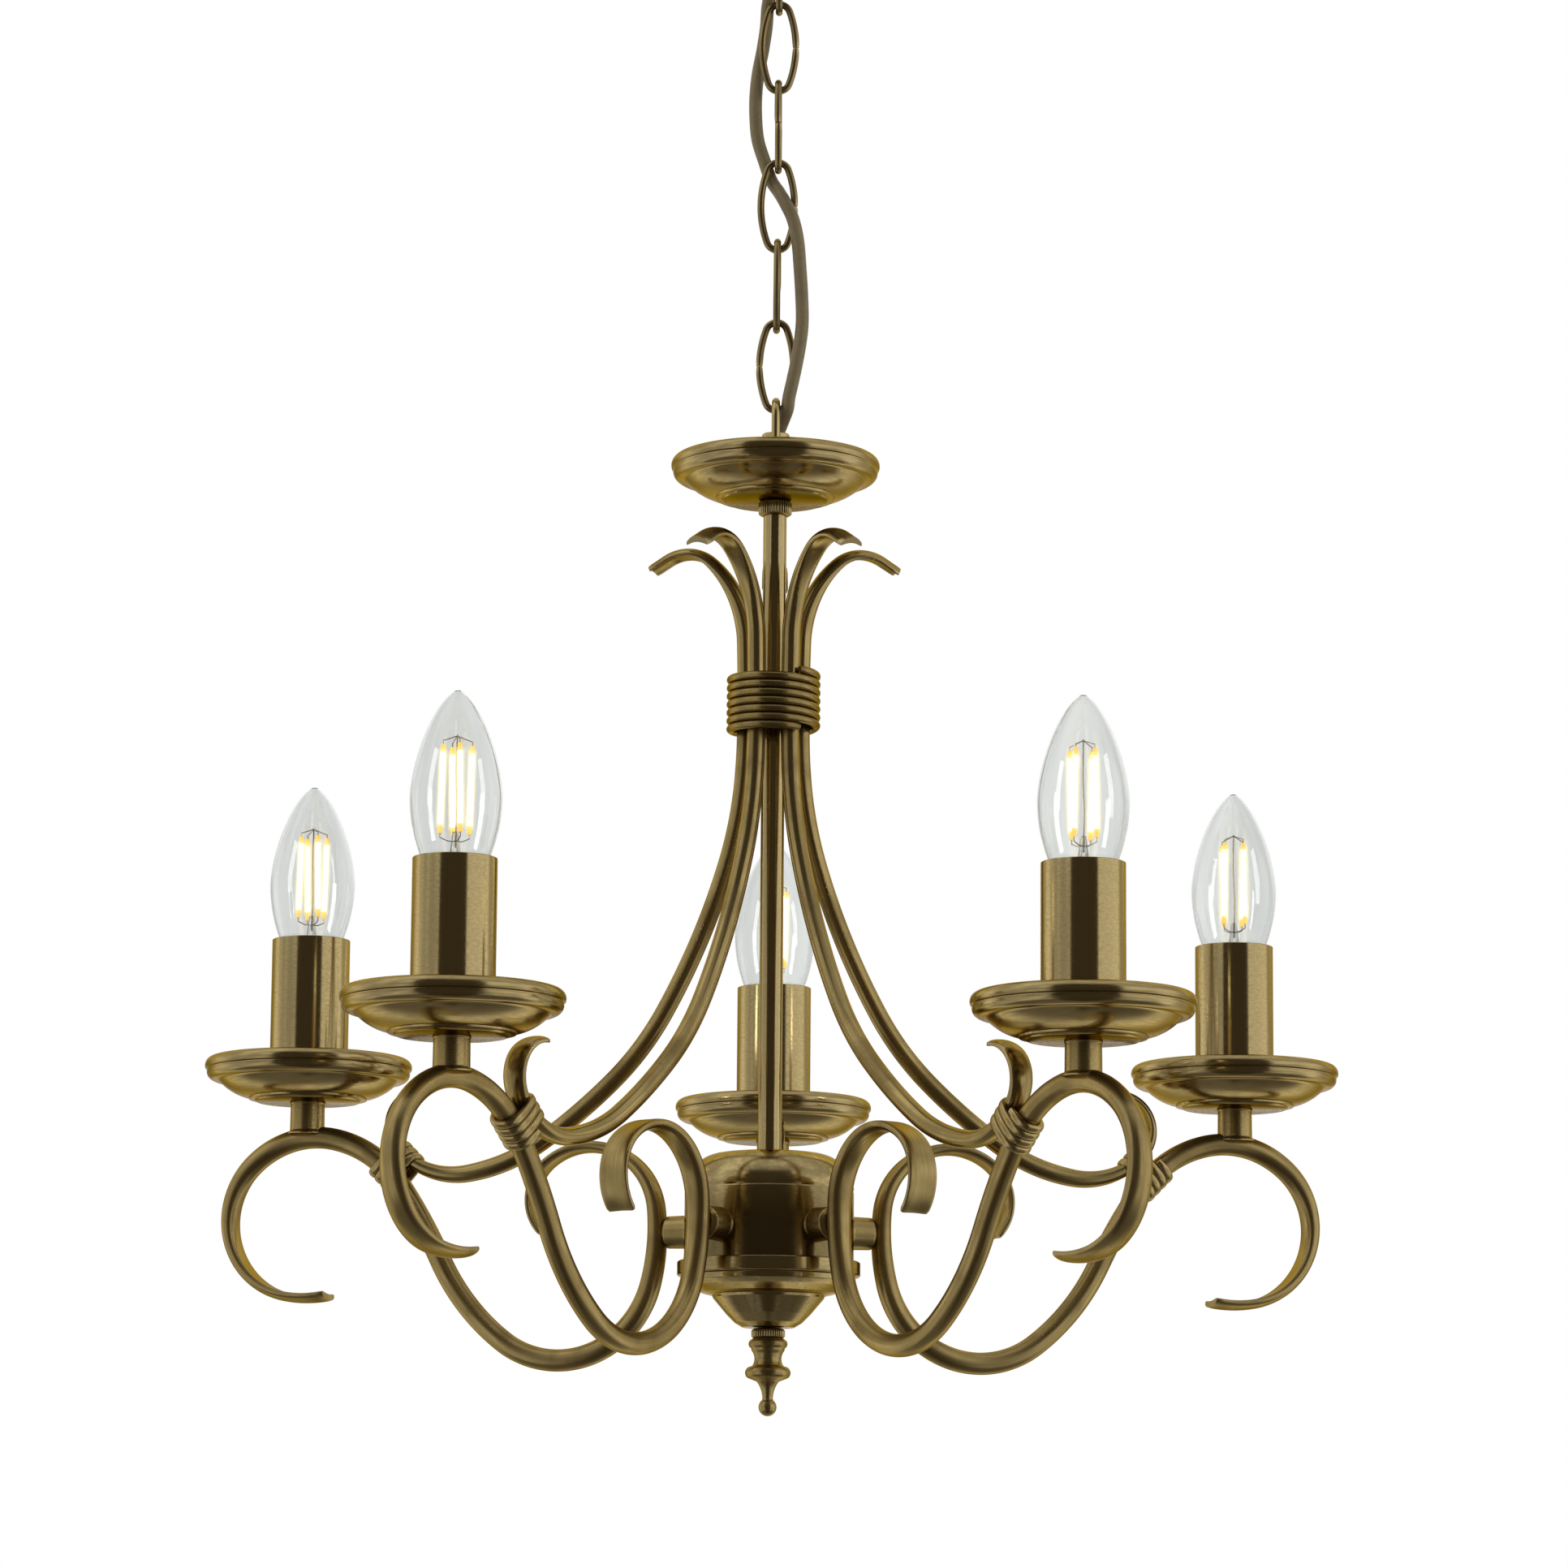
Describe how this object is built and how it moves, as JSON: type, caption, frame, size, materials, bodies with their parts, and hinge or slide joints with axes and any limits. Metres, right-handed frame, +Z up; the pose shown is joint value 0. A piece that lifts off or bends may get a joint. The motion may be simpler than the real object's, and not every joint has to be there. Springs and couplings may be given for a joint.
{
  "type": "multi arm chandelier",
  "caption": "Hanging chandelier with scrolled arms, candle sleeves, drip pans, rod stays bound by wire coils, and a chain to a ceiling fitting.",
  "frame": {"origin": "centre of the ceiling fitting's mounting face", "axes": "+Z up along the hanging axis, one arm points along +Y, the viewer of the main view stands on the -Y side"},
  "size_m": [0.4678, 0.449, 0.6541],
  "materials": {
    "antique_brass": "brushed antique",
    "zinc_steel": "plated",
    "cable_cover": "matt",
    "grip_plastic": "matt",
    "holder_body": "glazed",
    "cap_metal": "satin",
    "clear_glass": "clear",
    "light_filament": "glowing"
  },
  "bodies": {
    "ceiling": {"ceiling_bracket": "zinc_steel", "ceiling_cup": "antique_brass", "cup_screws": "antique_brass", "ceiling_hook": "antique_brass", "cord_grip": "grip_plastic", "flex_0": "cable_cover"},
    "chain_0": {"link_0": "antique_brass", "flex_1": "cable_cover"},
    "chain_1": {"link_1": "antique_brass", "flex_2": "cable_cover"},
    "chain_2": {"link_2": "antique_brass", "flex_3": "cable_cover"},
    "chain_3": {"link_3": "antique_brass", "flex_4": "cable_cover"},
    "chain_4": {"link_4": "antique_brass", "flex_5": "cable_cover"},
    "chain_5": {"link_5": "antique_brass", "flex_6": "cable_cover"},
    "bow": {"shackle": "antique_brass", "flex_7": "cable_cover"},
    "chandelier": {"top_stub": "antique_brass", "top_bowl": "antique_brass", "upper_nut": "antique_brass", "column": "antique_brass", "binding_collar": "antique_brass", "binding_coil": "antique_brass", "body_cup": "antique_brass", "body_nut": "zinc_steel", "centre_rod": "zinc_steel", "bosses": "antique_brass", "stems": "antique_brass", "nipples": "zinc_steel", "lampholders": "holder_body", "wraps": "antique_brass", "pans": "antique_brass", "sleeves": "antique_brass", "arm_1": "antique_brass", "arm_2": "antique_brass", "arm_3": "antique_brass", "arm_4": "antique_brass", "arm_5": "antique_brass", "stays": "antique_brass"},
    "cover": {"bottom_cover": "antique_brass"},
    "finial_group": {"lower_nut": "antique_brass", "finial": "antique_brass"},
    "bulb_1": {"bulb_cap_1": "cap_metal", "bulb_glass_1": "clear_glass", "filament_1": "light_filament"},
    "bulb_2": {"bulb_cap_2": "cap_metal", "bulb_glass_2": "clear_glass", "filament_2": "light_filament"},
    "bulb_3": {"bulb_cap_3": "cap_metal", "bulb_glass_3": "clear_glass", "filament_3": "light_filament"},
    "bulb_4": {"bulb_cap_4": "cap_metal", "bulb_glass_4": "clear_glass", "filament_4": "light_filament"},
    "bulb_5": {"bulb_cap_5": "cap_metal", "bulb_glass_5": "clear_glass", "filament_5": "light_filament"}
  },
  "joints": [
    {"name": "hook_swing", "type": "hinge", "parent": "ceiling", "child": "chain_0", "pos_m": [0, 0, -0.0407], "axis": [1, 0, 0], "range_deg": [-8, 8], "deforming": ["flex_0"]},
    {"name": "chain_swing_1", "type": "hinge", "parent": "chain_0", "child": "chain_1", "pos_m": [0, 0, -0.07405], "axis": [0, 1, 0], "range_deg": [-8, 8], "deforming": ["flex_1"]},
    {"name": "chain_swing_2", "type": "hinge", "parent": "chain_1", "child": "chain_2", "pos_m": [0, 0, -0.10795], "axis": [1, 0, 0], "range_deg": [-8, 8], "deforming": ["flex_2"]},
    {"name": "chain_swing_3", "type": "hinge", "parent": "chain_2", "child": "chain_3", "pos_m": [0, 0, -0.14185], "axis": [0, 1, 0], "range_deg": [-8, 8], "deforming": ["flex_3"]},
    {"name": "chain_swing_4", "type": "hinge", "parent": "chain_3", "child": "chain_4", "pos_m": [0, 0, -0.17575], "axis": [1, 0, 0], "range_deg": [-8, 8], "deforming": ["flex_4"]},
    {"name": "chain_swing_5", "type": "hinge", "parent": "chain_4", "child": "chain_5", "pos_m": [0, 0, -0.20965], "axis": [0, 1, 0], "range_deg": [-8, 8], "deforming": ["flex_5"]},
    {"name": "bow_swing", "type": "hinge", "parent": "chain_5", "child": "bow", "pos_m": [0, 0, -0.24355], "axis": [1, 0, 0], "range_deg": [-8, 8], "deforming": ["flex_6"]},
    {"name": "stub_swing", "type": "hinge", "parent": "bow", "child": "chandelier", "pos_m": [0, 0, -0.2585], "axis": [0, 1, 0], "range_deg": [-8, 8], "deforming": ["flex_7"]},
    {"name": "cover_drop", "type": "slide", "parent": "chandelier", "child": "cover", "axis": [0, 0, -1], "range_m": [0, 0.06]},
    {"name": "finial_turn", "type": "hinge", "parent": "cover", "child": "finial_group", "pos_m": [0, 0, -0.62], "axis": [0, 0, 1], "continuous": true},
    {"name": "bulb_lift_1", "type": "slide", "parent": "chandelier", "child": "bulb_1", "axis": [0, 0, 1], "range_m": [0, 0.07]},
    {"name": "bulb_lift_2", "type": "slide", "parent": "chandelier", "child": "bulb_2", "axis": [0, 0, 1], "range_m": [0, 0.07]},
    {"name": "bulb_lift_3", "type": "slide", "parent": "chandelier", "child": "bulb_3", "axis": [0, 0, 1], "range_m": [0, 0.07]},
    {"name": "bulb_lift_4", "type": "slide", "parent": "chandelier", "child": "bulb_4", "axis": [0, 0, 1], "range_m": [0, 0.07]},
    {"name": "bulb_lift_5", "type": "slide", "parent": "chandelier", "child": "bulb_5", "axis": [0, 0, 1], "range_m": [0, 0.07]}
  ]
}
